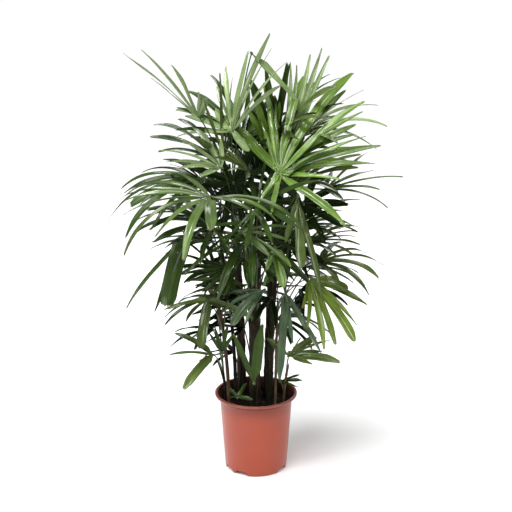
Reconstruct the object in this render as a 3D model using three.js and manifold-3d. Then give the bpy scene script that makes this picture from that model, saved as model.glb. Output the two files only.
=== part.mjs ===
// A lady palm (Rhapis) in its nursery pot.
// Millimetres, +Z up. The origin is the centre of the pot's flat underside.
// Canes stand in the soil, and each carries fan-shaped fronds on slender stalks.
// A frond is one thin plate: a stalk, and a blade cut nearly to its hub into straps.

import * as THREE from "three";
import { mergeVertices } from "three/addons/utils/BufferGeometryUtils.js";
import Module from "manifold-3d";

const wasm = await Module();
wasm.setup();

const clearance = 0.35;
const swelling = 0.6;

// The notches in its foot stand in pairs, their angles in degrees from +X.
const pot = {
  height: 232,
  rimRadius: 120,
  lip: 4,
  collarHeight: 24,
  wallTopRadius: 105,
  baseRadius: 90,
  wall: 3,
  lipAngles: [0, 60, 120, 180],
  shoulder: 4.5,
  sides: 24,
  notchPairs: [-16, 104, 224],
  notchAside: 16.5,
  notchWidth: 36,
  notchHeight: 11,
  notchDepth: 14,
};

const soilTop = 205;

// Each cane: where it stands on the soil, where its top is, and its radius at both.
const canes = {
  front: { foot: [-3, -8], top: [10, -45, 840], radii: [17, 10] },
  right: { foot: [36, 20], top: [76, 28, 830], radii: [14.5, 9] },
  back_left: { foot: [-42, 45], top: [-74, 42, 900], radii: [14, 8.5] },
  back_right: { foot: [36, 64], top: [62, 118, 800], radii: [13, 8.5] },
  back: { foot: [-8, 74], top: [-30, 120, 760], radii: [12, 8] },
  black: { foot: [-59, -2], top: [-105, 8, 700], radii: [5.5, 4] },
  rust: { foot: [-78, -50], top: [-124, -72, 610], radii: [5.5, 4] },
  low_left: { foot: [-86, -16], top: [-112, -46, 350], radii: [4.5, 3.5] },
  low_right: { foot: [80, -34], top: [94, -56, 340], radii: [4.2, 3.2] },
  low_centre: { foot: [56, -52], top: [62, -64, 560], radii: [4.2, 3.2] },
};
const caneSides = 7;
const caneSteps = 4;

const stalk = { footRadius: 3.2, hubRadius: 2, bendOut: 0.25, bendUp: 0.65, sides: 3, steps: 2 };

const blade = {
  thickness: 2,
  fused: 0.13,
  widest: 0.6,
  crowding: 0.85,
  cup: 11,
  lengthJitter: 0.09,
  sagJitter: 0.3,
  edgewise: 0.35,
  sagAtHub: 0.4,
  sagPerReach: 1.2,
  steps: 12,
};

// How much shorter the outer straps are, and how much longer those on one side.
const usualBlade = { sideShort: 0.28, skew: 0 };

// Fronds that make the front and the outline of the crown, each set by hand.
// hub is where stalk and blade meet, points is the way the middle straps run,
// and faces is the way the upper side looks. reach and strap are the straps' length
// and width. The stalk leaves the named cane at the height from.
const fronds = {
  crown_right: {
    cane: "front", from: 640, hub: [60, -150, 917],
    points: [0.85, 0.1, 0.51], faces: [-0.38, -0.56, 0.73],
    reach: 345, span: 310, segments: 14, strap: 24, sag: 0.7, sideShort: 0.6,
  },
  crown_right_back: {
    cane: "right", from: 740, hub: [85, -20, 925],
    points: [0.22, 0.28, 0.92], faces: [-0.3, -0.8, 0.5],
    reach: 312, span: 98, segments: 7, strap: 22, sag: 0.4,
  },
  crown_top: {
    cane: "back_left", from: 760, hub: [-68, -40, 1008],
    points: [0.38, 0.26, 0.87], faces: [-0.78, -0.37, 0.5],
    reach: 256, span: 270, segments: 11, strap: 23, sag: 0.5, sideShort: 0.45,
  },
  spray_upper_left: {
    cane: "back_left", from: 720, hub: [-157, 20, 1037],
    points: [-0.67, -0.31, 0.67], faces: [0.62, 0.4, 0.66],
    reach: 268, span: 170, segments: 6, strap: 20, sag: 0.3,
  },
  fan_upper_left: {
    cane: "back_left", from: 690, hub: [-91, -110, 923],
    points: [-0.9, 0.12, 0.4], faces: [0.34, -0.36, 0.87],
    reach: 175, span: 160, segments: 7, strap: 20, sag: 0.6,
  },
  fan_left: {
    cane: "front", from: 620, hub: [-121, -200, 868],
    points: [-1, -0.1, -0.05], faces: [-0.1, -0.17, 0.98],
    reach: 300, span: 300, segments: 12, strap: 25, sag: 1.0, sideShort: 0.4,
  },
  fan_left_back: {
    cane: "black", from: 660, hub: [-141, -20, 869],
    points: [-0.97, -0.2, -0.05], faces: [-0.1, -0.25, 0.96],
    reach: 280, span: 190, segments: 8, strap: 22, sag: 1.3,
  },
  hang_left: {
    cane: "front", from: 560, hub: [-189, -150, 752],
    points: [-0.37, -0.3, -0.88], faces: [-0.45, -0.8, 0.4],
    reach: 230, span: 45, segments: 3, strap: 40, sag: 0.4,
  },
  fan_low_left: {
    cane: "black", from: 440, hub: [-115, -80, 630],
    points: [-0.85, -0.4, 0.2], faces: [0, -0.5, 0.85],
    reach: 130, span: 270, segments: 7, strap: 18, sag: 0.8,
  },
  lattice_centre: {
    cane: "back_left", from: 400, hub: [-31, 0, 557],
    points: [-0.95, -0.25, -0.1], faces: [0, -0.5, 0.85],
    reach: 170, span: 90, segments: 5, strap: 17, sag: 0.6,
  },
  hang_low_left: {
    cane: "rust", from: 400, hub: [-133, -110, 549],
    points: [-0.1, -0.45, -0.8], faces: [-0.05, -0.85, 0.5],
    reach: 165, span: 240, segments: 3, strap: 27, sag: 1.1,
  },
  low_left: {
    cane: "low_left", from: 300, hub: [-121, -100, 383],
    points: [-0.97, -0.22, 0.14], faces: [0, -0.5, 0.85],
    reach: 132, span: 150, segments: 3, strap: 26, sag: 0.8, sideShort: -0.35, skew: -0.08,
  },
  sprout_left: {
    cane: "low_left", from: 290, hub: [-97, -58, 376],
    points: [0, 0, 1], faces: [0, -1, 0.1],
    reach: 90, span: 80, segments: 4, strap: 12, sag: 0.2,
  },
  young_centre: {
    cane: "front", from: 235, hub: [-6, -95, 295],
    points: [-0.04, -0.1, 1], faces: [0, -1, 0.1],
    reach: 200, span: 42, segments: 2, strap: 28, sag: 0.4, skew: 0.15,
  },
  seedling_left: {
    cane: "rust", from: 228, hub: [-52, -80, 246],
    points: [0.45, 0.55, 0.45], faces: [-0.1, -0.5, 0.85],
    reach: 55, span: 210, segments: 3, strap: 15, sag: 0.5,
  },
  hang_blue_right: {
    cane: "low_centre", from: 500, hub: [81, -160, 585],
    points: [0, -0.1, -1], faces: [0.05, -1, 0.15],
    reach: 225, span: 20, segments: 2, strap: 20, sag: 0.2,
  },
  hang_long_right: {
    cane: "right", from: 640, hub: [111, -165, 861],
    points: [0.0, -0.15, -1], faces: [0.1, -1, 0.1],
    reach: 260, span: 50, segments: 3, strap: 25, sag: 0.2,
  },
  hang_dark_centre: {
    cane: "front", from: 440, hub: [22, -150, 592],
    points: [-0.75, -0.3, -0.4], faces: [-0.4, -0.6, 0.6],
    reach: 140, span: 90, segments: 4, strap: 24, sag: 0.9,
  },
  bright_centre: {
    cane: "front", from: 600, hub: [50, -190, 725],
    points: [0, -0.4, -0.8], faces: [0, -0.8, 0.5],
    reach: 140, span: 120, segments: 4, strap: 27, sag: 0.4,
  },
  light_centre: {
    cane: "front", from: 580, hub: [-43, -190, 770],
    points: [0.8, -0.4, -0.3], faces: [0.2, -0.5, 0.8],
    reach: 170, span: 150, segments: 5, strap: 20, sag: 0.8,
  },
  bright_low_right: {
    cane: "right", from: 430, hub: [151, -120, 619],
    points: [0.47, -0.25, -0.85], faces: [0.53, -0.69, 0.5],
    reach: 215, span: 130, segments: 7, strap: 26, sag: 0.5,
  },
  low_right: {
    cane: "low_right", from: 300, hub: [93, -90, 376],
    points: [0.88, 0.16, 0.44], faces: [-0.1, -0.6, 0.8],
    reach: 160, span: 140, segments: 4, strap: 21, sag: 0.8, skew: 0.12,
  },
  seedling_right: {
    cane: "low_right", from: 238, hub: [70, -34, 276],
    points: [1, -0.3, 0.1], faces: [0, -0.6, 0.8],
    reach: 70, span: 60, segments: 3, strap: 14, sag: 0.3,
  },
  edge_upper_right: {
    cane: "right", from: 700, hub: [192, 0, 838],
    points: [1, 0, 0.2], faces: [0, -0.15, 1],
    reach: 225, span: 170, segments: 7, strap: 21, sag: 0.8,
  },
  edge_right: {
    cane: "right", from: 520, hub: [145, 20, 680],
    points: [1, 0.1, 0.15], faces: [0, -0.1, 1],
    reach: 195, span: 170, segments: 7, strap: 20, sag: 0.8,
  },
  edge_low_right: {
    cane: "low_centre", from: 430, hub: [172, -20, 632],
    points: [1, -0.1, 0.1], faces: [0, -0.2, 1],
    reach: 200, span: 150, segments: 6, strap: 22, sag: 1.1,
  },
  shade_left: {
    cane: "rust", from: 470, hub: [-62, -120, 640],
    points: [-0.6, -0.5, -0.4], faces: [-0.3, -0.7, 0.6],
    reach: 190, span: 130, segments: 5, strap: 24, sag: 0.8,
  },
};

// Fronds that fill the back, the sides and the inside of the crown, from the top down.
// Each is a step lower than the last, and a golden share of the sector further round
// (0 is +X, 90 is the back). Values in pairs are those of the top and the lowest frond.
// sidewise squeezes the ring that the hubs stand on from side to side.
const filling = {
  count: 20,
  sector: [5, 190],
  goldenShare: 0.618,
  height: [990, 420],
  radius: [90, 130],
  bulge: 95,
  sidewise: 0.72,
  rise: [48, -32],
  reach: [235, 165],
  segments: [7, 5],
  span: 170,
  strap: 24,
  sag: 0.9,
  stalkDrop: 230,
};

const colours = {
  pot: { color: 0xb4573a, roughness: 0.5, metalness: 0 },
  soil: { color: 0x2c1e15, roughness: 1, metalness: 0 },
  cane: { color: 0x4b3020, roughness: 0.9, metalness: 0 },
  frond: { color: 0x3f6b2c, roughness: 0.4, metalness: 0 },
};

// A repeatable offset from -1 to 1, different for each pair of numbers.
function wobble(a, b) {
  const mixed = Math.sin(a * 12.9898 + b * 78.233) * 43758.5453;
  return (mixed - Math.floor(mixed)) * 2 - 1;
}

function weld(geometry) {
  const bare = geometry.clone();
  bare.deleteAttribute("normal");
  bare.deleteAttribute("uv");
  return mergeVertices(bare);
}

// The same shape with every face about a clearance further out.
function swell(geometry) {
  const grown = weld(geometry);
  const corners = grown.attributes.position;
  const outward = Array.from({ length: corners.count }, () => new THREE.Vector3());
  const face = new THREE.Triangle();
  for (let i = 0; i < grown.index.count; i += 3) {
    const ids = [0, 1, 2].map((corner) => grown.index.getX(i + corner));
    face.setFromAttributeAndIndices(corners, ...ids);
    const normal = face.getNormal(new THREE.Vector3());
    ids.forEach((id) => outward[id].add(normal));
  }
  outward.forEach((direction, id) => {
    const corner = new THREE.Vector3().fromBufferAttribute(corners, id);
    corner.addScaledVector(direction.normalize(), swelling);
    corners.setXYZ(id, corner.x, corner.y, corner.z);
  });
  return grown;
}

function toSolid(geometry) {
  const welded = weld(geometry);
  const mesh = new wasm.Mesh({
    numProp: 3,
    vertProperties: welded.attributes.position.array,
    triVerts: Uint32Array.from(welded.index.array),
  });
  return new wasm.Manifold(mesh);
}

function toGeometry(solid) {
  const mesh = solid.getMesh();
  const geometry = new THREE.BufferGeometry();
  geometry.setAttribute("position", new THREE.BufferAttribute(mesh.vertProperties, 3));
  geometry.setIndex(new THREE.BufferAttribute(mesh.triVerts, 1));
  geometry.computeVertexNormals();
  return geometry;
}

// Of the pieces that a cut leaves, the one with a corner nearest the point.
function pieceAt(solid, point) {
  let nearest = solid;
  let best = Infinity;
  for (const piece of solid.decompose()) {
    const corners = new THREE.BufferAttribute(piece.getMesh().vertProperties, 3);
    const corner = new THREE.Vector3();
    for (let i = 0; i < corners.count; i += 1) {
      const distance = corner.fromBufferAttribute(corners, i).distanceTo(point);
      if (distance < best) {
        best = distance;
        nearest = piece;
      }
    }
  }
  return nearest;
}

// A tapering round limb: a cylinder bent along a curve.
function limb(curve, footRadius, tipRadius, sides, steps) {
  const geometry = new THREE.CylinderGeometry(tipRadius, footRadius, 1, sides, steps);
  const frames = curve.computeFrenetFrames(steps);
  const corners = geometry.attributes.position;
  for (let i = 0; i < corners.count; i += 1) {
    const ring = Math.round((corners.getY(i) + 0.5) * steps);
    const spot = curve.getPointAt(ring / steps);
    spot.addScaledVector(frames.normals[ring], corners.getX(i));
    spot.addScaledVector(frames.binormals[ring], -corners.getZ(i));
    corners.setXYZ(i, spot.x, spot.y, spot.z);
  }
  return geometry;
}

function lathe(profile) {
  return new THREE.LatheGeometry(profile, pot.sides).rotateX(Math.PI / 2);
}

// The pot's wall, floor and rolled rim in one closed profile, less its drainage notches.
function makePot() {
  const collarFoot = pot.height - pot.collarHeight;
  const collarRadius = pot.wallTopRadius + pot.lip;
  const profile = [
    new THREE.Vector2(0, 0),
    new THREE.Vector2(pot.baseRadius - pot.wall / 2, 0),
    new THREE.Vector2(pot.baseRadius, pot.wall / 2),
    new THREE.Vector2(pot.wallTopRadius, collarFoot),
    new THREE.Vector2(collarRadius, collarFoot + pot.wall / 2),
  ];
  for (const degrees of pot.lipAngles) {
    const angle = THREE.MathUtils.degToRad(degrees);
    const x = pot.rimRadius - pot.lip + pot.lip * Math.cos(angle);
    const y = pot.height - pot.lip + pot.lip * Math.sin(angle);
    profile.push(new THREE.Vector2(x, y));
  }
  profile.push(new THREE.Vector2(collarRadius - pot.wall, collarFoot + pot.shoulder));
  profile.push(new THREE.Vector2(pot.wallTopRadius - pot.wall, collarFoot));
  profile.push(new THREE.Vector2(pot.baseRadius - pot.wall, pot.wall));
  profile.push(new THREE.Vector2(0, pot.wall));
  let solid = toSolid(lathe(profile));
  for (const pair of pot.notchPairs) {
    for (const side of [-1, 1]) {
      const notch = new THREE.BoxGeometry(2 * pot.notchDepth, pot.notchWidth, 2 * pot.notchHeight);
      notch.translate(pot.baseRadius, 0, 0);
      notch.rotateZ(THREE.MathUtils.degToRad(pair + side * pot.notchAside));
      solid = solid.subtract(toSolid(notch));
    }
  }
  return solid;
}

// The pot's inner radius at a height, where its wall is straight.
function innerRadius(z) {
  const rise = (z - pot.wall) / (pot.height - pot.collarHeight - pot.wall);
  return THREE.MathUtils.lerp(pot.baseRadius, pot.wallTopRadius, rise) - pot.wall;
}

function makeSoil() {
  const bottom = pot.wall + clearance;
  const profile = [
    new THREE.Vector2(0, bottom),
    new THREE.Vector2(innerRadius(bottom) - clearance, bottom),
    new THREE.Vector2(innerRadius(soilTop) - clearance, soilTop),
    new THREE.Vector2(0, soilTop),
  ];
  return toSolid(lathe(profile));
}

// A cane rises plumb from the soil and leans more the higher it gets.
function caneCurve(cane) {
  const foot = new THREE.Vector3(...cane.foot, soilTop + clearance);
  const top = new THREE.Vector3(...cane.top);
  const bend = new THREE.Vector3(foot.x, foot.y, (foot.z + top.z) / 2);
  return new THREE.QuadraticBezierCurve3(foot, bend, top);
}

function makeCane(cane) {
  return limb(caneCurve(cane), ...cane.radii, caneSides, caneSteps);
}

// The cane's centre at a height: its curve climbs evenly.
function caneCentre(cane, z) {
  const curve = caneCurve(cane);
  return curve.getPoint((z - curve.v0.z) / (curve.v2.z - curve.v0.z));
}

// A stalk leaves its cane steeply and arches out to the hub.
function stalkCurve(frond) {
  const start = caneCentre(canes[frond.cane], frond.from);
  const hub = new THREE.Vector3(...frond.hub);
  const bend = new THREE.Vector3();
  bend.x = THREE.MathUtils.lerp(start.x, hub.x, stalk.bendOut);
  bend.y = THREE.MathUtils.lerp(start.y, hub.y, stalk.bendOut);
  bend.z = THREE.MathUtils.lerp(start.z, hub.z, stalk.bendUp);
  return new THREE.QuadraticBezierCurve3(start, bend, hub);
}

// The blade's own axes: along its middle straps, out of its upper face, and across.
function bladeAxes(frond) {
  const along = new THREE.Vector3(...frond.points).normalize();
  const face = new THREE.Vector3(...frond.faces);
  face.addScaledVector(along, -face.dot(along)).normalize();
  return { along, face, across: new THREE.Vector3().crossVectors(along, face) };
}

// Where a line from the hub has got to, once it has left the flat, fused middle,
// is cupped towards the upper face and sags. The angle is from the middle straps.
function drape(frond, angle, far, sag) {
  const { along, face, across } = bladeAxes(frond);
  const flat = along.multiplyScalar(Math.cos(angle)).addScaledVector(across, Math.sin(angle));
  const fused = frond.reach * blade.fused;
  const spot = new THREE.Vector3(...frond.hub).addScaledVector(flat, Math.min(far, fused));
  if (far <= fused) {
    return { spot, heading: flat, normal: face };
  }
  const cup = THREE.MathUtils.degToRad(blade.cup);
  const heading = flat.clone().multiplyScalar(Math.cos(cup)).addScaledVector(face, Math.sin(cup));
  const normal = face.clone().multiplyScalar(Math.cos(cup)).addScaledVector(flat, -Math.sin(cup));
  const step = (far - fused) / blade.steps;
  for (let i = 0; i < blade.steps; i += 1) {
    const travelled = (fused + (i + 0.5) * step) / frond.reach;
    const pull = new THREE.Vector3(0, 0, -1).addScaledVector(heading, heading.z);
    const faceOn = normal.clone().multiplyScalar(pull.dot(normal));
    const edgeOn = pull.sub(faceOn).multiplyScalar(blade.edgewise);
    const turn = (sag * (blade.sagAtHub + blade.sagPerReach * travelled) * step) / frond.reach;
    heading.addScaledVector(faceOn.add(edgeOn), turn).normalize();
    normal.addScaledVector(heading, -normal.dot(heading)).normalize();
    spot.addScaledVector(heading, step);
  }
  return { spot, heading, normal };
}

// A closed plate through rows of two points, each with the way its upper side faces.
function plate(rows, thickness) {
  const corners = [];
  for (const { spot, normal } of rows.flat()) {
    for (const side of [0.5, -0.5]) {
      corners.push(spot.clone().addScaledVector(normal, side * thickness));
    }
  }
  const faces = [];
  for (let row = 0; row < rows.length - 1; row += 1) {
    const [left, under, right, rightUnder] = [0, 1, 2, 3].map((corner) => 4 * row + corner);
    const [farLeft, farUnder, farRight, farRightUnder] = [4, 5, 6, 7].map((corner) => 4 * row + corner);
    faces.push(left, right, farRight, left, farRight, farLeft);
    faces.push(under, farRightUnder, rightUnder, under, farUnder, farRightUnder);
    faces.push(right, rightUnder, farRightUnder, right, farRightUnder, farRight);
    faces.push(left, farUnder, under, left, farLeft, farUnder);
  }
  return new THREE.BufferGeometry().setFromPoints(corners).setIndex(faces);
}

// A strap runs from the hub to where it parts from its neighbours, its widest and its tip.
function makeStrap(frond, index) {
  const span = THREE.MathUtils.degToRad(frond.span);
  const pitch = span / frond.segments;
  const [edge, middle, farEdge] = [0, 0.5, 1].map((share) => (index + share) * pitch - span / 2);
  const aside = middle / (span / 2);
  const { sideShort, skew } = { ...usualBlade, ...frond };
  const uneven = (1 - sideShort * aside ** 2) * (1 + skew * aside);
  const length = frond.reach * uneven * (1 + blade.lengthJitter * wobble(index, frond.seed));
  const sag = frond.sag * (1 + blade.sagJitter * wobble(frond.seed, index));
  const room = 2 * length * blade.widest * Math.sin(pitch / 2) * blade.crowding;
  const half = Math.min(frond.strap, room) / 2;
  const fused = frond.reach * blade.fused;
  const hub = drape(frond, 0, 0, sag);
  const widest = drape(frond, middle, length * blade.widest, sag);
  const tip = drape(frond, middle, length, sag);
  const across = new THREE.Vector3().crossVectors(widest.heading, widest.normal);
  const sides = [-half, half].map((offset) => ({
    spot: widest.spot.clone().addScaledVector(across, offset),
    normal: widest.normal,
  }));
  const parting = [drape(frond, edge, fused, sag), drape(frond, farEdge, fused, sag)];
  return plate([[hub, hub], parting, sides, [tip, tip]], blade.thickness);
}

// The fronds of the filling, each on the cane that stands nearest under its hub.
function fillingFronds() {
  const list = [];
  const { lerp, degToRad } = THREE.MathUtils;
  for (let i = 0; i < filling.count; i += 1) {
    const down = i / (filling.count - 1);
    const round = (i * filling.goldenShare) % 1;
    const turn = degToRad(lerp(...filling.sector, round));
    const rise = degToRad(lerp(...filling.rise, down));
    const radius = lerp(...filling.radius, down) + filling.bulge * Math.sin(Math.PI * down);
    const height = lerp(...filling.height, down);
    const out = new THREE.Vector3(Math.cos(turn), Math.sin(turn), 0);
    const hub = new THREE.Vector3(out.x * radius * filling.sidewise, out.y * radius, height);
    const points = out.clone().multiplyScalar(Math.cos(rise)).setZ(Math.sin(rise));
    const faces = out.clone().multiplyScalar(-Math.sin(rise)).setZ(Math.cos(rise));
    const from = height - filling.stalkDrop;
    list.push({
      name: `frond_filling_${i + 1}`,
      cane: nearestCane(hub, from),
      from,
      hub: hub.toArray(),
      points: points.toArray(),
      faces: faces.toArray(),
      reach: lerp(...filling.reach, down),
      segments: Math.round(lerp(...filling.segments, down)),
      span: filling.span,
      strap: filling.strap,
      sag: filling.sag,
    });
  }
  return list;
}

function nearestCane(hub, from) {
  let nearest = null;
  let best = Infinity;
  for (const [name, cane] of Object.entries(canes)) {
    if (cane.top[2] > from) {
      const centre = caneCentre(cane, from);
      const distance = Math.hypot(hub.x - centre.x, hub.y - centre.y);
      if (distance < best) {
        best = distance;
        nearest = name;
      }
    }
  }
  return nearest;
}

// What a frond's stalk still holds where another frond stands in its way.
function cutBy(frond, other) {
  return pieceAt(frond.solid.subtract(other.grown), frond.anchor);
}

// Where two fronds cross, the one that loses less gives way.
function settle(a, b) {
  const cutA = cutBy(a, b);
  const cutB = cutBy(b, a);
  const lossA = a.solid.volume() - cutA.volume();
  const lossB = b.solid.volume() - cutB.volume();
  if (lossA < lossB) {
    a.solid = cutA;
  } else {
    b.solid = cutB;
  }
}

function addPart(name, solid, finish) {
  const mesh = new THREE.Mesh(toGeometry(solid), new THREE.MeshStandardMaterial(finish));
  mesh.name = name;
  group.add(mesh);
}

const group = new THREE.Group();
addPart("pot", makePot(), colours.pot);
addPart("soil", makeSoil(), colours.soil);
for (const [name, cane] of Object.entries(canes)) {
  addPart(`cane_${name}`, toSolid(makeCane(cane)), colours.cane);
}

const grownCanes = Object.values(canes).map((cane) => toSolid(swell(makeCane(cane))));
const named = Object.entries(fronds).map(([name, frond]) => ({ ...frond, name: `frond_${name}` }));
const crown = [...named, ...fillingFronds()];
crown.forEach((frond, index) => {
  frond.seed = index + 1;
  const { footRadius, hubRadius, sides, steps } = stalk;
  const pieces = [limb(stalkCurve(frond), footRadius, hubRadius, sides, steps)];
  for (let i = 0; i < frond.segments; i += 1) {
    pieces.push(makeStrap(frond, i));
  }
  frond.anchor = stalkCurve(frond).getPointAt(0.5);
  frond.grown = wasm.Manifold.union(pieces.map((piece) => toSolid(swell(piece))));
  frond.solid = wasm.Manifold.union(pieces.map(toSolid));
  for (const grownCane of grownCanes) {
    frond.solid = pieceAt(frond.solid.subtract(grownCane), frond.anchor);
  }
});
crown.forEach((frond, index) => {
  for (const other of crown.slice(0, index)) {
    if (!frond.solid.intersect(other.grown).isEmpty()) {
      settle(frond, other);
    }
  }
});
for (const frond of crown) {
  addPart(frond.name, frond.solid, colours.frond);
}

export default group;
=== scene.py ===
import math
import random

import bmesh
import bpy
from mathutils import Matrix, Quaternion, Vector, noise


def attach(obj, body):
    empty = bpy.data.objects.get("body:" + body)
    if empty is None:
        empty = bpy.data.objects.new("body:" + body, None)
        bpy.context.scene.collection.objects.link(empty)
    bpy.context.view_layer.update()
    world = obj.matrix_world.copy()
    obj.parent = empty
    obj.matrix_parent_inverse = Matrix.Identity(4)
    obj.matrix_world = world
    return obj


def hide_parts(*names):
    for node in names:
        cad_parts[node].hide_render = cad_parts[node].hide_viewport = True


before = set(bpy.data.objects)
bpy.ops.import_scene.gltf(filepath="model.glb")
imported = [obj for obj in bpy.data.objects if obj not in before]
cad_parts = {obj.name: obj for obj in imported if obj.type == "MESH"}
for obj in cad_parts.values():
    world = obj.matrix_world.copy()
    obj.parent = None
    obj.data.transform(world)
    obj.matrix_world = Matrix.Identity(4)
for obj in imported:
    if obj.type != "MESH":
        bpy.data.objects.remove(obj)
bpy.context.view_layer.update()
scene = bpy.context.scene
mm = 0.001
up = Vector((0, 0, 1))
print("frame loaded:", len(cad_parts), "nodes")


def lerp(a, b, t):
    return a + (b - a) * t


def ease(t):
    t = min(max(t, 0.0), 1.0)
    return t * t * (3 - 2 * t)


# a repeatable offset from -1 to 1, different for each pair of numbers
def wobble(a, b):
    mixed = math.sin(a * 12.9898 + b * 78.233) * 43758.5453
    return (mixed - math.floor(mixed)) * 2 - 1


def levelAt(turn):
    return Vector((math.cos(turn), math.sin(turn), 0))


def facesOf(verts):
    return {face for vert in verts for face in vert.link_faces}


def meshFrom(name, bm):
    mesh = bpy.data.meshes.new(name)
    bm.to_mesh(mesh)
    bm.free()
    return mesh


def addObject(name, data):
    made = bpy.data.objects.new(name, data)
    scene.collection.objects.link(made)
    return made


def setSockets(node, values):
    for name, value in values.items():
        node.inputs[name].default_value = value


def newMaterial(name, roughness):
    material = bpy.data.materials.new(name)
    material.use_nodes = True
    tree = material.node_tree
    shader = tree.nodes["Principled BSDF"]
    setSockets(shader, {"Roughness": roughness})
    return material, tree, shader


studio = {
    "cameraAt": (0, -3.5, 1.7),
    "cameraDown": 16.8,  # degrees under level
    "lens": 90.9,
    "floorSize": 60,
    "floorColour": (0.95, 0.95, 0.95),
    "floorRoughness": 0.9,
    "worldColour": (1, 1, 1),
    "worldStrength": 0.24,
    "sunFrom": (-0.3, -0.7, 1.6),
    "sunStrength": 3,
    "sunSpread": 46,  # degrees across, so its shadows stay soft
    # name: place, size in metres, watts
    "lamps": {
        "left": ((-2.8, -2.4, 2.2), 1.2, 45),
        "right": ((2.9, -2.0, 2.0), 1.2, 42),
        "back": ((0.4, 3.0, 2.6), 1.3, 28),
        "top": ((-1.3, 0.3, 3.0), 0.8, 40),
    },
    "aimAt": (0, 0, 0.72),
}


def addLight(name, kind, place, heading):
    light = bpy.data.lights.new(name + "_lamp", kind)
    lightObject = addObject(light.name, light)
    lightObject.location = place
    lightObject.rotation_euler = heading.to_track_quat("-Z", "Y").to_euler()
    return light


def buildStudio():
    camera = bpy.data.cameras.new("camera")
    camera.lens = studio["lens"]
    camera.sensor_width = 36
    scene.camera = addObject("camera", camera)
    scene.camera.location = studio["cameraAt"]
    scene.camera.rotation_euler = (math.radians(90 - studio["cameraDown"]), 0, 0)
    for name, (place, size, watts) in studio["lamps"].items():
        lamp = addLight(name, "AREA", place, Vector(studio["aimAt"]) - Vector(place))
        lamp.shape = "DISK"
        lamp.size = size
        lamp.energy = watts
    sun = addLight("sun", "SUN", (0, 0, 0), -Vector(studio["sunFrom"]))
    sun.energy = studio["sunStrength"]
    sun.angle = math.radians(studio["sunSpread"])
    world = bpy.data.worlds.new("studio")
    world.use_nodes = True
    setSockets(world.node_tree.nodes["Background"], {
        "Color": (*studio["worldColour"], 1), "Strength": studio["worldStrength"]})
    scene.world = world
    scene.view_settings.view_transform = "Standard"
    bm = bmesh.new()
    bmesh.ops.create_grid(bm, x_segments=2, y_segments=2, size=studio["floorSize"] / 2)
    mesh = meshFrom("floor", bm)
    paint, _, shader = newMaterial("floorPaint", studio["floorRoughness"])
    setSockets(shader, {"Base Color": (*studio["floorColour"], 1)})
    mesh.materials.append(paint)
    floor = addObject("floor", mesh)
    print("studio built")


def addNoise(tree, place, scale, detail):
    cloud = tree.nodes.new("ShaderNodeTexNoise")
    setSockets(cloud, {"Scale": scale, "Detail": detail})
    tree.links.new(place, cloud.inputs["Vector"])
    return cloud.outputs["Fac"]


# noise that runs between two colours, over the given part of its range
def addMottle(tree, place, scale, detail, spread, colour, second):
    cloud = addNoise(tree, place, scale, detail)
    ramp = tree.nodes.new("ShaderNodeValToRGB")
    for stop, position, shade in zip(ramp.color_ramp.elements, spread, (second, colour)):
        stop.position = position
        stop.color = (*shade, 1)
    tree.links.new(cloud, ramp.inputs["Fac"])
    return ramp.outputs["Color"]


# multiplies a colour: gives the sockets of the share and of the other colour, and the result
# (the colours of a mix node are its inputs 6 and 7 and its output 2)
def addMultiply(tree, colour):
    mix = tree.nodes.new("ShaderNodeMix")
    mix.data_type = "RGBA"
    mix.blend_type = "MULTIPLY"
    tree.links.new(colour, mix.inputs[6])
    return mix.inputs["Factor"], mix.inputs[7], mix.outputs[2]


def addBump(tree, shader, height, strength, depth):
    bump = tree.nodes.new("ShaderNodeBump")
    setSockets(bump, {"Strength": strength, "Distance": depth})
    tree.links.new(height, bump.inputs["Height"])
    tree.links.new(bump.outputs["Normal"], shader.inputs["Normal"])


# a shader whose colour is mottled between two by noise, over a fine grain
def makeMaterial(name, colour, second, roughness, look):
    material, tree, shader = newMaterial(name, roughness)
    setSockets(shader, look.get("sockets", {}))
    place = tree.nodes.new("ShaderNodeTexCoord")
    mapping = tree.nodes.new("ShaderNodeMapping")
    setSockets(mapping, {"Scale": look.get("stretch", (1, 1, 1))})
    tree.links.new(place.outputs["Object"], mapping.inputs["Vector"])
    tinted = addMottle(tree, mapping.outputs["Vector"], look["scale"], look.get("detail", 4),
                       look.get("spread", (0.35, 0.65)), colour, second)
    # painted shade: the colour darkens towards the top, between two heights
    if "paintedShadeUpwards" in look:
        low, high, shadeTint = look["paintedShadeUpwards"]
        height = tree.nodes.new("ShaderNodeSeparateXYZ")
        tree.links.new(place.outputs["Object"], height.inputs["Vector"])
        rise = tree.nodes.new("ShaderNodeMapRange")
        rise.interpolation_type = "SMOOTHSTEP"
        setSockets(rise, {"From Min": low, "From Max": high})
        tree.links.new(height.outputs["Z"], rise.inputs["Value"])
        factor, other, tinted = addMultiply(tree, tinted)
        tree.links.new(rise.outputs["Result"], factor)
        other.default_value = (*shadeTint, 1)
    tree.links.new(tinted, shader.inputs["Base Color"])
    grain = addNoise(tree, mapping.outputs["Vector"], look["grainScale"], 3)
    addBump(tree, shader, grain, look["grainStrength"], look["grainDepth"])
    return material


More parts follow.
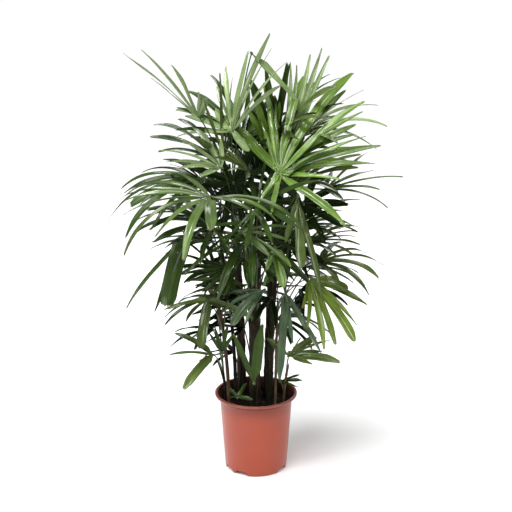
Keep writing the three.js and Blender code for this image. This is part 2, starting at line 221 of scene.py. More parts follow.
# a leaf blade's shader: mottled green with fine veins that run along the strap
leafPaint = {
    "mottleScale": 22,
    "mottleSpread": (0.3, 0.7),
    "veins": 10,  # per strap width
    # how bright the blade is across its width: dark edges, a pale middle rib
    "acrossShades": (
        (0.0, 0.55), (0.14, 0.90), (0.42, 0.84), (0.5, 1.15), (0.58, 0.84), (0.86, 0.90), (1.0, 0.55)),
    "veinDarkening": 0.45,
    "veinDepth": 0.0004,
    "veinStrength": 0.5,
    "roughness": 0.3,
    "specular": 0.45,
    "specularTint": (0.85, 1.0, 0.6),
    "underRoughness": 0.5,
    "underPaleness": 0.14,
    "coat": 0.9,
    "coatRoughness": 0.10,
    # tone: sunlit colour and shaded colour of the upper side, and its gloss
    "tones": {
        # the lightest tones go to the top leaves: partly painted light, for the light on the crown
        "fresh": ((0.188, 0.335, 0.038), (0.095, 0.196, 0.021), 0.85),
        "silver": ((0.335, 0.460, 0.190), (0.180, 0.280, 0.092), 0.9),
        "grey": ((0.132, 0.212, 0.048), (0.065, 0.116, 0.023), 0.65),
        "olive": ((0.150, 0.215, 0.050), (0.074, 0.120, 0.026), 0.55),
        "mid": ((0.050, 0.100, 0.013), (0.022, 0.052, 0.007), 0.3),
        # near-black: painted shade for the leaves deep inside the plant
        "deep": ((0.013, 0.030, 0.005), (0.006, 0.015, 0.003), 0.12),
        "blue": ((0.088, 0.148, 0.070), (0.042, 0.080, 0.036), 0.8),
        "lime": ((0.184, 0.268, 0.031), (0.102, 0.160, 0.019), 0.6),
    },
    "underGloss": 0.12,
    # painted shade: the leaves that stand behind a leaf are of a darker tone, for the shade they stand in
    "behind": {
        "fresh": "mid", "silver": "olive", "grey": "mid", "olive": "deep", "lime": "mid",
        "mid": "deep", "blue": "deep",
    },
    "strapShades": (1.0, 1.22, 0.68),  # the straps of one leaf differ a little
    "under": (0.085, 0.14, 0.055),
    "dryTip": ((0.19, 0.165, 0.080), (0.09, 0.070, 0.036)),
    "stalk": ((0.050, 0.085, 0.020), (0.028, 0.050, 0.013)),
    "stalkFoot": ((0.060, 0.038, 0.020), (0.028, 0.018, 0.011)),
}


def makeLeafMaterial(name, colour, second, roughness, gloss):
    material, tree, shader = newMaterial(name, roughness)
    setSockets(shader, {
        "Specular IOR Level": leafPaint["specular"] * gloss,
        "Specular Tint": (*leafPaint["specularTint"], 1),
        "Coat Weight": leafPaint["coat"] * gloss,
        "Coat Roughness": leafPaint["coatRoughness"],
    })
    place = tree.nodes.new("ShaderNodeTexCoord")
    mottled = addMottle(tree, place.outputs["Object"], leafPaint["mottleScale"], 3,
                        leafPaint["mottleSpread"], colour, second)
    strapPlace = tree.nodes.new("ShaderNodeUVMap")
    strapPlace.uv_map = "strap"
    veins = tree.nodes.new("ShaderNodeTexWave")
    veins.bands_direction = "X"
    # the wave texture has 3.2 bands to a unit at a scale of 1
    setSockets(veins, {"Scale": leafPaint["veins"] / 3.2, "Distortion": 0.6, "Detail Scale": 0.6})
    tree.links.new(strapPlace.outputs["UV"], veins.inputs["Vector"])
    factor, other, veined = addMultiply(tree, mottled)
    factor.default_value = leafPaint["veinDarkening"]
    tree.links.new(veins.outputs["Color"], other)
    sides = tree.nodes.new("ShaderNodeSeparateXYZ")
    tree.links.new(strapPlace.outputs["UV"], sides.inputs["Vector"])
    across = tree.nodes.new("ShaderNodeValToRGB")
    stops = across.color_ramp.elements
    while len(stops) < len(leafPaint["acrossShades"]):
        stops.new(1)
    for stop, (position, shade) in zip(stops, leafPaint["acrossShades"]):
        stop.position = position
        stop.color = (shade, shade, shade, 1)
    tree.links.new(sides.outputs["X"], across.inputs["Fac"])
    factor, other, ribbed = addMultiply(tree, veined)
    factor.default_value = 1
    tree.links.new(across.outputs["Color"], other)
    tree.links.new(ribbed, shader.inputs["Base Color"])
    addBump(tree, shader, veins.outputs["Fac"], leafPaint["veinStrength"], leafPaint["veinDepth"])
    return material


def shaded(colour, share):
    return tuple(min(channel * share, 1.0) for channel in colour)


# the materials of one leaf tone: three upper sides, then the underside
def makeLeafSet(tone):
    colour, second, gloss = leafPaint["tones"][tone]
    made = [
        makeLeafMaterial(f"leaf_{tone}_{i}", shaded(colour, shade), shaded(second, shade),
                         leafPaint["roughness"], gloss)
        for i, shade in enumerate(leafPaint["strapShades"], 1)]
    pale = tuple(lerp(c, u, leafPaint["underPaleness"]) for c, u in zip(colour, leafPaint["under"]))
    made.append(makeLeafMaterial(
        f"leaf_{tone}_under", pale, shaded(pale, 0.8), leafPaint["underRoughness"], leafPaint["underGloss"]))
    return made


look = {"scale": 60, "grainScale": 240, "grainStrength": 0.3, "grainDepth": 0.0004}
leafShared = [
    makeMaterial("leafDryTip", *leafPaint["dryTip"], 0.7, look),
    makeMaterial("leafStalk", *leafPaint["stalk"], 0.45, look),
    makeMaterial("leafStalkFoot", *leafPaint["stalkFoot"], 0.8, look),
]
# where a leaf piece's materials stand in its list
tipIndex, stalkIndex, footIndex, ownFirst, behindFirst = 0, 1, 2, 3, 7
leafSets = {tone: makeLeafSet(tone) for tone in leafPaint["tones"]}
print("leaf materials made:", len(leafSets))


# hands a finished mesh to the frame: it rides the plant and stands for its nodes
def finishPiece(name, bm, materials, nodes, sharpAngle=55):
    for face in bm.faces:
        face.smooth = True
    mesh = meshFrom(name, bm)
    mesh.set_sharp_from_angle(angle=math.radians(sharpAngle))
    for material in materials:
        mesh.materials.append(material)
    piece = addObject(name, mesh)
    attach(piece, "root")
    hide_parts(*nodes)


# a shell turned from a profile of radii and heights
def spinProfile(profile, turns):
    bm = bmesh.new()
    points = [bm.verts.new((x, 0, z)) for x, z in profile]
    edges = [bm.edges.new(pair) for pair in zip(points, points[1:])]
    bmesh.ops.spin(bm, geom=points + edges, cent=(0, 0, 0), axis=(0, 0, 1), angle=2 * math.pi,
                   steps=turns, use_merge=True)
    bmesh.ops.remove_doubles(bm, verts=bm.verts, dist=0.01 * mm)
    bmesh.ops.recalc_face_normals(bm, faces=bm.faces)
    return bm


# a closed tube round a path: place(t) gives its centre, radius(t, turn) its surface
def addTube(bm, place, radius, sides, steps, material):
    made = bmesh.ops.create_cone(bm, cap_ends=True, segments=sides, radius1=1, radius2=1, depth=1)
    uprights = {edge for vert in made["verts"] for edge in vert.link_edges
                if abs(edge.verts[0].co.z - edge.verts[1].co.z) > 0.5}
    cut = bmesh.ops.subdivide_edges(bm, edges=list(uprights), cuts=steps - 1, use_grid_fill=True)
    between = [item for item in cut["geom_inner"] if isinstance(item, bmesh.types.BMVert)]
    ring = {end for vert in between for edge in vert.link_edges for end in edge.verts}
    faces = facesOf(ring)
    centres = [place(i / steps) for i in range(steps + 1)]
    turnedUp = Quaternion()
    frames = []
    heading = up
    for i in range(steps + 1):
        ahead = centres[min(i + 1, steps)] - centres[max(i - 1, 0)]
        ahead.normalize()
        turnedUp = heading.rotation_difference(ahead) @ turnedUp
        heading = ahead
        frames.append(turnedUp.copy())
    for vert in ring:
        i = round((vert.co.z + 0.5) * steps)
        turn = math.atan2(vert.co.y, vert.co.x)
        vert.co = centres[i] + frames[i] @ levelAt(turn) * radius(i / steps, turn)
    for face in faces:
        face.material_index = material
    return faces


def bezier(start, bend, end, t):
    return start * (1 - t) ** 2 + bend * (2 * t * (1 - t)) + end * t * t


pot = {
    "height": 232 * mm,
    "rimRadius": 120 * mm,
    "lip": 4.2 * mm,
    "collarHeight": 24 * mm,
    "wallTopRadius": 105 * mm,
    "baseRadius": 90 * mm,
    "wall": 2.4 * mm,
    "wallSteps": 14,
    # the neck under the rim flares softly: mm out from the wall's top, mm above the collar's foot
    "neck": ((0.5, 2), (1.3, 5), (2.2, 8), (3.4, 11.4), (5.2, 14.2), (8.0, 15.8)),
    "lipTurn": (-75, 190),  # degrees, from the underside of the lip over to its inner side
    "turns": 160,  # faces round
    # drainage notches in pairs: the middle of each pair and how far each stands from it
    "notchPairs": (-16, 104, 224),
    "notchAside": 16.5,
    "notchHalfWidth": 12,  # degrees
    "notchHeight": 10.5 * mm,
    "notchDepth": 14 * mm,
    "colour": (0.350, 0.052, 0.020),
    "shade": (0.308, 0.043, 0.016),
    # painted shadow: the neck under the rim is coloured much darker than the wall
    "neckShadowColour": (0.190, 0.024, 0.009),
    "neckShadowSecond": (0.155, 0.019, 0.008),
    "lipColour": (0.250, 0.052, 0.028),
    "lipShade": (0.200, 0.044, 0.026),
    # painted shade: the wall's colour darkens towards the neck, where the rim and the leaves shade it
    "paintedShadeUpwards": (0.165, 0.222, (0.58, 0.47, 0.41)),  # the wall darkens towards the neck
    "roughness": 0.32,
    "neckRoughness": 0.6,
    "insideColour": (0.070, 0.022, 0.014),  # soil dust and painted shade inside the pot
    "insideShade": (0.028, 0.012, 0.008),
    "insideRoughness": 0.8,
}


# how much of its height a drainage notch has at an angle round the foot
def notchShare(turn):
    middles = [pair + side * pot["notchAside"] for pair in pot["notchPairs"] for side in (-1, 1)]
    away = min(abs((math.degrees(turn) - middle + 180) % 360 - 180) for middle in middles)
    return 1 - ease((away - pot["notchHalfWidth"] * 0.7) / (pot["notchHalfWidth"] * 0.5))


def buildPot():
    top, lip, wall = pot["height"], pot["lip"], pot["wall"]
    collarFoot = top - pot["collarHeight"]
    base = pot["baseRadius"]
    under = base - pot["notchDepth"]
    profile = [(0, 0.5 * mm), (under - 6 * mm, 0.5 * mm), (under - 1 * mm, 0.3 * mm)]
    profile += [(lerp(under, base - 2 * mm, i / 4), 0) for i in range(5)]
    profile += [(base - 0.6 * mm, 0.4 * mm), (base, 1.6 * mm)]
    wallTop = pot["wallTopRadius"]
    for i in range(1, pot["wallSteps"] + 1):
        share = i / pot["wallSteps"]
        profile.append((lerp(base, wallTop, share), lerp(2 * mm, collarFoot, share)))
    profile += [(wallTop + out * mm, collarFoot + rise * mm) for out, rise in pot["neck"]]
    rim = pot["rimRadius"] - lip
    for i in range(9):
        angle = math.radians(lerp(*pot["lipTurn"], i / 8))
        drop = 1 if angle > 0 else 1.15
        profile.append((rim + lip * math.cos(angle), top - lip + lip * math.sin(angle) * drop))
    profile += [
        (rim - lip - 0.5 * mm, top - 2.2 * lip),
        (wallTop + 3.2 * mm - wall, collarFoot + 9 * mm),
        (wallTop + 1.6 * mm - wall, collarFoot + 2 * mm),
        (wallTop - wall, collarFoot - 3 * mm),
        (lerp(base, wallTop, 0.75) - wall, collarFoot * 0.75),
        (base - wall, 12 * mm),
        (0, 12 * mm),
    ]
    bm = spinProfile(profile, pot["turns"])
    # the foot's notches lift the wall's edge and the floor's margin
    for vert in bm.verts:
        radius = math.hypot(vert.co.x, vert.co.y)
        if vert.co.z < 11 * mm and radius > under - 3 * mm:
            share = notchShare(math.atan2(vert.co.y, vert.co.x))
            inward = ease((radius - under + 2 * mm) / (3 * mm))
            vert.co.z += (pot["notchHeight"] - vert.co.z) * share * inward
    inside, neck, rolledLip = 1, 2, 3  # the wall is 0
    for face in bm.faces:
        middle = face.calc_center_median()
        outward = face.normal.x * middle.x + face.normal.y * middle.y
        if 11 * mm < middle.z < top - 1.5 * lip and outward < 0:
            face.material_index = inside
        elif collarFoot + 9 * mm < middle.z < top - 1.6 * lip:
            face.material_index = neck
        elif middle.z > top - 1.6 * lip:
            face.material_index = rolledLip
    look = {"scale": 9, "detail": 6, "spread": (0.3, 0.75),
            "grainScale": 900, "grainStrength": 0.12, "grainDepth": 0.0002,
            "sockets": {"Sheen Weight": 0.06, "Sheen Roughness": 0.4}}
    matt = {**look, "sockets": {"Specular IOR Level": 0.15}}
    plastic = makeMaterial("terracottaPlastic", pot["colour"], pot["shade"], pot["roughness"],
                           {**look, "paintedShadeUpwards": pot["paintedShadeUpwards"]})
    # the inside's dark plastic: soil dust and painted shade
    dustAndShade = makeMaterial("dustAndShadePlastic", pot["insideColour"], pot["insideShade"], pot["insideRoughness"],
                         {**matt, "scale": 40})
    # the neck's darker plastic is painted shadow under the rim
    shady = makeMaterial("neckShadowPlastic", pot["neckShadowColour"], pot["neckShadowSecond"], pot["neckRoughness"], matt)
    rolled = makeMaterial("lipPlastic", pot["lipColour"], pot["lipShade"], pot["roughness"],
                          {**look, "sockets": {"Sheen Weight": 0.5, "Sheen Roughness": 0.3}})
    finishPiece("pot_shell", bm, [plastic, dustAndShade, shady, rolled], ["pot"], 38)
    print("pot built")


soil = {
    "top": 205 * mm,
    "radius": 101 * mm,
    "depth": 30 * mm,
    "rings": 22,
    "turns": 72,
    "bumpScale": 55,
    "bump": 3.5 * mm,
    "crumbs": 900,
    "crumbSize": (1.2 * mm, 4.5 * mm),
    "crumbStretch": ((0.7, 1.6), (0.6, 1.0), (0.4, 0.9)),  # least and most along each axis
    "barkShare": 0.12,  # of the crumbs
    "colour": (0.014, 0.009, 0.007),
    "shade": (0.006, 0.004, 0.003),
    "crumbColour": (0.026, 0.017, 0.011),
    "barkColour": (0.050, 0.029, 0.017),
}


def soilHeight(x, y):
    rough = noise.noise(Vector((x, y, 0)) * soil["bumpScale"])
    fine = noise.noise(Vector((x, y, 0.3)) * soil["bumpScale"] * 3.1)
    return soil["top"] - 2.5 * mm + soil["bump"] * (rough * 0.7 + fine * 0.4)


def buildSoil():
    rings = soil["rings"]
    profile = [(soil["radius"] * i / rings, soil["top"]) for i in range(rings + 1)]
    profile += [(soil["radius"] - 1 * mm, soil["top"] - soil["depth"]), (0, soil["top"] - soil["depth"])]
    bm = spinProfile(profile, soil["turns"])
    for vert in bm.verts:
        if vert.co.z > soil["top"] - 1 * mm:
            vert.co.z = soilHeight(vert.co.x, vert.co.y)
    pick = random.Random(11)
    for i in range(soil["crumbs"]):
        turn = pick.uniform(0, 2 * math.pi)
        away = soil["radius"] * 0.97 * math.sqrt(pick.random())
        size = lerp(*soil["crumbSize"], pick.random() ** 2.5)
        x, y = away * math.cos(turn), away * math.sin(turn)
        stretch = Vector([pick.uniform(*ends) for ends in soil["crumbStretch"]]) * size
        spin = Quaternion((pick.random(), pick.random(), pick.random(), pick.random() + 0.1)).normalized()
        placed = Matrix.LocRotScale(Vector((x, y, soilHeight(x, y) + size * 0.15)), spin, stretch)
        crumb = bmesh.ops.create_icosphere(bm, subdivisions=1, radius=1, matrix=placed)
        kind = 2 if pick.random() < soil["barkShare"] else 1  # bark or crumb
        for face in facesOf(crumb["verts"]):
            face.material_index = kind
    look = {"scale": 140, "detail": 5, "grainScale": 500, "grainStrength": 0.8, "grainDepth": 0.0015,
            "sockets": {"Specular IOR Level": 0.12}}
    earth = makeMaterial("moistSoil", soil["colour"], soil["shade"], 0.95, look)
    crumbs = makeMaterial("soilCrumbs", soil["crumbColour"], soil["shade"], 0.9, look)
    bark = makeMaterial("barkChips", soil["barkColour"], soil["crumbColour"], 0.85, look)
    finishPiece("soil_bed", bm, [earth, crumbs, bark], ["soil"], 30)
    print("soil built")


# in mm, where each cane stands on the soil, its top and its radius at both; and its finish
canes = {
    "front": dict(foot=(-3, -8), top=(10, -45, 840), radii=(17, 10), finish="fibre"),
    "right": dict(foot=(36, 20), top=(76, 28, 830), radii=(14.5, 9), finish="darkFibre"),
    "back_left": dict(foot=(-42, 45), top=(-74, 42, 900), radii=(14, 8.5), finish="fibre"),
    "back_right": dict(foot=(36, 64), top=(62, 118, 800), radii=(13, 8.5), finish="darkFibre"),
    "back": dict(foot=(-8, 74), top=(-30, 120, 760), radii=(12, 8), finish="fibre"),
    "black": dict(foot=(-59, -2), top=(-105, 8, 700), radii=(5.5, 4), finish="black"),
    "rust": dict(foot=(-78, -50), top=(-124, -72, 610), radii=(5.5, 4), finish="rust"),
    "low_left": dict(foot=(-86, -16), top=(-112, -46, 350), radii=(4.5, 3.5), finish="black"),
    "low_right": dict(foot=(80, -34), top=(94, -56, 340), radii=(4.2, 3.2), finish="pale"),
    "low_centre": dict(foot=(56, -52), top=(62, -64, 560), radii=(4.2, 3.2), finish="pale"),
}
caneShape = {
    "sides": 28,
    "step": 5 * mm,
    "thinSides": 12,
    "sunk": 3,  # mm into the soil
    "tipTaper": 0.7,
    "tipFrom": 0.86,  # share of the length
    "thinRing": 0.16,  # how far a thin cane swells at its rings, share of the radius
    "sheathLength": 62 * mm,
    "sheathFlare": 0.13,  # share of the radius
    "ridges": 0.05,
    "strands": 90,  # on a thick cane
    "strandRadius": 0.45 * mm,
    "strandLength": (45, 120),  # mm
    "strandWind": (0.5, 1.6),  # radians round the cane
    "hairs": 26,  # strands that come loose
    "hairLift": (3, 14),  # mm
    "thick": 8,  # canes of at least this radius wear sheaths and strands
    # finish: colour, second colour
    "finishes": {
        "fibre": ((0.050, 0.034, 0.019), (0.010, 0.007, 0.005)),
        "darkFibre": ((0.028, 0.024, 0.012), (0.007, 0.006, 0.004)),
        "black": ((0.012, 0.009, 0.008), (0.005, 0.004, 0.0035)),
        "rust": ((0.075, 0.038, 0.019), (0.028, 0.017, 0.009)),
        "pale": ((0.105, 0.066, 0.036), (0.045, 0.036, 0.018)),
    },
    "strandColour": ((0.100, 0.066, 0.036), (0.032, 0.021, 0.013)),
}


def canePoint(cane, t):
    foot = Vector((*cane["foot"], soil["top"] / mm - caneShape["sunk"])) * mm
    top = Vector(cane["top"]) * mm
    bend = Vector((foot.x, foot.y, (foot.z + top.z) / 2))
    return bezier(foot, bend, top, t)


def caneAtHeight(cane, z):
    low, high = canePoint(cane, 0).z, cane["top"][2] * mm
    return canePoint(cane, (z - low) / (high - low))


# a cane's surface: its taper, the flared ends of its sheaths and fine ridges
def caneRadius(cane, t, turn, seed):
    tip = ease((t - caneShape["tipFrom"]) / 0.14)
    radius = lerp(*cane["radii"], t) * mm * (1 - caneShape["tipTaper"] * tip)
    length = cane["top"][2] * mm - soil["top"]
    wavy = noise.noise(Vector((math.cos(turn), math.sin(turn), seed)) * 1.3) * 0.35
    if cane["radii"][0] < caneShape["thick"]:
        ring = (t * length / (caneShape["sheathLength"] * 0.8) + seed * 0.37) % 1
        swell = caneShape["thinRing"] * math.exp(-((ring - 0.5) * 14) ** 2)
        return radius * (1 + swell + 0.03 * wavy)
    phase = (t * length / caneShape["sheathLength"] + seed * 0.61 + wavy) % 1
    flare = caneShape["sheathFlare"] * (phase ** 1.6 - 0.45)
    ridge = noise.noise(Vector((math.cos(turn) * 5, math.sin(turn) * 5, t * 9 + seed)))
    return radius * (1 + flare + caneShape["ridges"] * ridge)


def buildCanes():
    look = {"scale": 34, "detail": 6, "stretch": (3.5, 3.5, 0.4), "spread": (0.40, 0.62),
            "grainScale": 150, "grainStrength": 0.7, "grainDepth": 0.0012,
            "sockets": {"Specular IOR Level": 0.12}}
    finishes = {name: makeMaterial("cane_" + name, *colours, 0.72, look)
                for name, colours in caneShape["finishes"].items()}
    strand = makeMaterial("caneStrand", *caneShape["strandColour"], 0.85, look)
    for number, (name, cane) in enumerate(canes.items()):
        length = cane["top"][2] * mm - soil["top"]
        thick = cane["radii"][0] >= caneShape["thick"]
        steps = round(length / caneShape["step"])
        sides = caneShape["sides"] if thick else caneShape["thinSides"]
        bm = bmesh.new()
        addTube(bm, lambda t: canePoint(cane, t),
                lambda t, turn: caneRadius(cane, t, turn, number), sides, steps, 0)
        pick = random.Random(100 + number)
        count = caneShape["strands"] if thick else 0
        for i in range(count):
            start = pick.uniform(0, 0.93)
            reach = pick.uniform(*caneShape["strandLength"]) * mm / length
            turn0 = pick.uniform(0, 2 * math.pi)
            wind = pick.choice((-1, 1)) * pick.uniform(*caneShape["strandWind"])
            loose = pick.uniform(*caneShape["hairLift"]) * mm if i < caneShape["hairs"] else 0

            def strandPlace(t):
                at = min(start + reach * t, 0.995)
                turn = turn0 + wind * t
                surface = caneRadius(cane, at, turn, number) + 0.2 * mm
                return canePoint(cane, at) + levelAt(turn) * (surface + loose * t ** 3)

            addTube(bm, strandPlace,
                    lambda t, turn: caneShape["strandRadius"] * (1.05 - 0.8 * t), 4, 9, 1)
        node = "cane_" + name
        finishPiece(node + "_sheathed", bm, [finishes[cane["finish"]], strand], [node])
    print("canes built:", len(canes))


# One fan leaf, in millimetres and degrees: its cane and the height its stalk leaves it at, the
# hub where its straps meet, the ways that the middle straps run and the upper side looks, the
# straps' reach, the fan's span and the number of segments in it, a strap's width, its sag, and
# the leaf's tone. straps lists each strap by its turn from the middle and by shares of the
# reach and the strap width (and of the sag); without it there is one strap to a segment, and
# widths then gives their shares of the strap width. sideShort is how much shorter the outer
# straps of such an even fan are. ribbon under 1 widens the straps sooner, and pointed straps
# never end bluntly.
def fanLeaf(cane, stalkFrom, hub, points, faces, reach, span, segments, strap, sag, tone, **more):
    return dict(cane=cane, stalkFrom=stalkFrom, hub=hub, points=points, faces=faces, reach=reach,
                span=span, segments=segments, strap=strap, sag=sag, tone=tone, **more)


fronds = {
    "crown_right": fanLeaf(
        "front", 640, (60, -150, 917), (0.85, 0.1, 0.51), (-0.38, -0.56, 0.73),
        345, 310, 14, 24, 0.7, "fresh", sideShort=0.6, straps=(
            (-101, 0.98, 0.8), (-94, 0.64, 1), (-81, 0.55, 0.6), (-71, 0.92, 0.8), (-64, 0.7, 0.6),
            (-53, 1, 1.2), (-34, 1.11, 1.35), (-10, 0.88, 1.15), (12, 0.74, 0.7), (21, 0.84, 1),
            (33, 0.8, 1), (48, 0.58, 0.75), (75, 0.86, 1.05), (117, 0.4, 1.1), (143, 0.36, 1))),
    "crown_right_back": fanLeaf(
        "right", 740, (85, -20, 925), (0.22, 0.28, 0.92), (-0.3, -0.8, 0.5),
        312, 98, 7, 22, 0.4, "silver", straps=(
            (-26, 0.72, 0.9), (-11, 0.86, 0.8), (-7, 0.84, 0.7), (0, 0.95, 0.9), (6.5, 1.03, 0.8),
            (12.5, 0.99, 0.9))),
    "crown_top": fanLeaf(
        "back_left", 760, (-68, -40, 1008), (0.38, 0.26, 0.87), (-0.78, -0.37, 0.5),
        256, 270, 11, 23, 0.5, "silver", sideShort=0.45, straps=(
            (-98, 1.05, 0.7), (-84, 1.05, 0.85), (-66, 0.48, 1.35), (-48, 0.72, 0.95), (-35, 0.86, 1.1),
            (-11, 0.9, 1.1), (8, 1.11, 1.3), (20, 1, 0.6), (42, 1.12, 0.55), (55, 1, 1.2),
            (98, 0.73, 1.1))),
    "spray_upper_left": fanLeaf(
        "back_left", 720, (-157, 20, 1037), (-0.67, -0.31, 0.67), (0.62, 0.4, 0.66),
        268, 170, 6, 20, 0.3, "silver", straps=(
            (-60, 0.58, 1.35), (-50, 0.62, 0.9), (-27, 0.88, 0.95), (-3, 0.98, 1), (22, 1.02, 0.45),
            (44, 0.7, 0.5), (98, 0.9, 1))),
    "fan_upper_left": fanLeaf(
        "back_left", 690, (-91, -110, 923), (-0.9, 0.12, 0.4), (0.34, -0.36, 0.87),
        175, 160, 7, 20, 0.6, "silver", straps=(
            (-62, 0.6, 0.9), (-44, 0.76, 1), (-28, 0.94, 0.8), (-14, 1.03, 0.7), (14, 0.97, 1.25),
            (42, 1.07, 1.35), (70, 0.72, 0.85))),
    "fan_left": fanLeaf(
        "front", 620, (-121, -200, 868), (-1, -0.1, -0.05), (-0.1, -0.17, 0.98),
        300, 300, 12, 25, 1, "grey", sideShort=0.4, straps=(
            (-159, 1, 0.7, 1.4), (-150, 0.68, 0.95, 2.2), (-134, 0.62, 0.8, 1.6), (-86, 0.68, 1.5),
            (-72, 0.92, 1.25, 1.4), (-52, 0.84, 1.05, 0.85), (-24, 1, 1, 1.8), (-10, 0.8, 0.7),
            (14, 0.78, 1.2), (26, 0.9, 0.7), (43, 1.05, 0.8), (66, 0.8, 0.8))),
    "fan_left_back": fanLeaf(
        "black", 660, (-141, -20, 869), (-0.97, -0.2, -0.05), (-0.1, -0.25, 0.96),
        280, 190, 8, 27, 1.3, "mid", straps=(
            (-55, 0.75, 1), (-40, 0.9, 0.9), (-29, 1.08, 1.05), (-18, 0.75, 0.9), (-7, 0.82, 1.3),
            (3, 1.14, 0.45), (14, 0.85, 1), (26, 0.95, 0.8), (42, 0.8, 0.9))),
    "hang_left": fanLeaf(
        "front", 560, (-189, -150, 752), (-0.37, -0.3, -0.88), (-0.45, -0.8, 0.4),
        230, 45, 3, 40, 0.4, "mid", ribbon=0.7,
        straps=((-15, 0.9, 1.75), (0, 1, 0.4), (15, 1.12, 0.35))),
    "fan_low_left": fanLeaf(
        "black", 440, (-115, -80, 630), (-0.85, -0.4, 0.2), (0, -0.5, 0.85),
        130, 270, 9, 15, 0.8, "mid"),
    "lattice_centre": fanLeaf(
        "back_left", 400, (-31, 0, 557), (-0.95, -0.25, -0.1), (0, -0.5, 0.85),
        170, 90, 5, 17, 0.6, "olive"),
    "hang_low_left": fanLeaf(
        "rust", 400, (-133, -110, 549), (-0.1, -0.45, -0.8), (-0.05, -0.85, 0.5),
        152, 240, 3, 27, 1.1, "olive", widths=(0.8, 1.3, 0.5)),
    "low_left": fanLeaf(
        "low_left", 300, (-121, -100, 383), (-0.97, -0.22, 0.14), (0, -0.5, 0.85),
        132, 150, 3, 26, 0.8, "olive", ribbon=0.6,
        straps=((-50, 1.2, 1.2, 0.6), (2, 0.95, 0.45), (42, 1, 0.95))),
    "sprout_left": fanLeaf(
        "low_left", 290, (-97, -58, 376), (0, 0, 1), (0, -1, 0.1),
        90, 80, 4, 12, 0.2, "mid"),
    "young_centre": fanLeaf(
        "front", 235, (-6, -95, 295), (-0.04, -0.1, 1), (0, -1, 0.1),
        200, 42, 2, 28, 0.4, "mid", pointed=True,
        straps=((-14, 0.95, 0.75), (10, 1.08, 1.3))),
    "seedling_left": fanLeaf(
        "rust", 228, (-52, -80, 246), (0.45, 0.55, 0.45), (-0.1, -0.5, 0.85),
        55, 210, 3, 15, 0.5, "mid"),
    "hang_blue_right": fanLeaf(
        "low_centre", 500, (81, -160, 585), (0, -0.1, -1), (0.05, -1, 0.15),
        225, 20, 2, 20, 0.2, "blue", ribbon=0.4,
        straps=((3, 1.06, 1.45), (-11, 0.62, 0.8), (-31, 0.85, 1))),
    "hang_long_right": fanLeaf(
        "right", 640, (111, -165, 861), (0, -0.15, -1), (0.1, -1, 0.1),
        260, 50, 3, 25, 0.2, "olive",
        straps=((-4, 0.75, 1.35), (-10, 1.08, 0.9), (15, 0.5, 0.8))),
    "hang_dark_centre": fanLeaf(
        "front", 440, (22, -150, 592), (-0.75, -0.3, -0.4), (-0.4, -0.6, 0.6),
        140, 90, 4, 24, 0.9, "blue", widths=(0.6, 1.35, 0.7, 0.5)),
    "bright_centre": fanLeaf(
        "front", 600, (50, -190, 725), (0, -0.4, -0.8), (0, -0.8, 0.5),
        140, 120, 4, 27, 0.4, "fresh",
        straps=((-12, 0.82, 1.15), (-42, 0.5, 0.7), (22, 0.5, 0.7))),
    "light_centre": fanLeaf(
        "front", 580, (-43, -190, 770), (0.8, -0.4, -0.3), (0.2, -0.5, 0.8),
        170, 150, 5, 20, 0.8, "grey",
        straps=((-45, 0.9, 0.6), (-22, 0.8, 0.7), (3, 1.05, 0.6), (16, 0.7, 1.2))),
    "bright_low_right": fanLeaf(
        "right", 430, (151, -120, 619), (0.47, -0.25, -0.85), (0.53, -0.69, 0.5),
        215, 130, 7, 26, 0.5, "lime", straps=(
            (-46, 0.56, 1.8), (-40, 0.88, 0.9), (-17, 0.88, 0.7), (-3, 1, 1.3), (13, 0.93, 1.05),
            (28, 0.97, 0.95), (45, 0.73, 0.85), (58, 0.5, 0.8))),
    "low_right": fanLeaf(
        "low_right", 300, (93, -90, 376), (0.88, 0.16, 0.44), (-0.1, -0.6, 0.8),
        160, 140, 4, 21, 0.8, "olive", straps=(
            (37, 0.95, 1.35), (24, 0.62, 0.9), (-14, 0.62, 1.2, 2.4), (8, 0.86, 0.5), (52, 0.5, 0.8),
            (-30, 0.4, 1), (-110, 0.55, 1.1))),
    "seedling_right": fanLeaf(
        "low_right", 238, (70, -34, 276), (1, -0.3, 0.1), (0, -0.6, 0.8),
        70, 60, 3, 14, 0.3, "mid"),
    "edge_upper_right": fanLeaf(
        "right", 700, (192, 0, 838), (1, 0, 0.2), (0, -0.15, 1),
        225, 170, 7, 21, 0.8, "grey", straps=(
            (-75, 0.5, 0.8), (-47, 0.97, 0.6, 0.3), (-25, 0.7, 0.9), (6, 0.98, 0.5, 0.6),
            (27, 0.74, 1), (45, 1, 0.6), (70, 0.6, 0.9))),
    "edge_right": fanLeaf(
        "right", 520, (145, 20, 680), (1, 0.1, 0.15), (0, -0.1, 1),
        195, 170, 7, 20, 0.8, "olive", straps=(
            (-45, 0.8, 0.7), (-25, 0.95, 0.8), (-5, 0.78, 0.7), (12, 0.7, 0.6), (27, 0.82, 0.8),
            (45, 0.9, 0.8), (62, 0.8, 0.9))),
    "edge_low_right": fanLeaf(
        "low_centre", 430, (172, -20, 632), (1, -0.1, 0.1), (0, -0.2, 1),
        200, 150, 6, 22, 1.1, "olive"),
    "shade_left": fanLeaf(
        "rust", 470, (-62, -120, 640), (-0.6, -0.5, -0.4), (-0.3, -0.7, 0.6),
        190, 130, 5, 18, 0.8, "mid", straps=(
            (70, 0.5, 0.7), (57, 0.64, 0.8), (44, 0.76, 0.75), (32, 0.7, 0.8), (19, 0.64, 0.9),
            (5, 0.6, 0.8), (-10, 0.52, 0.9), (-30, 0.45, 0.8))),
}
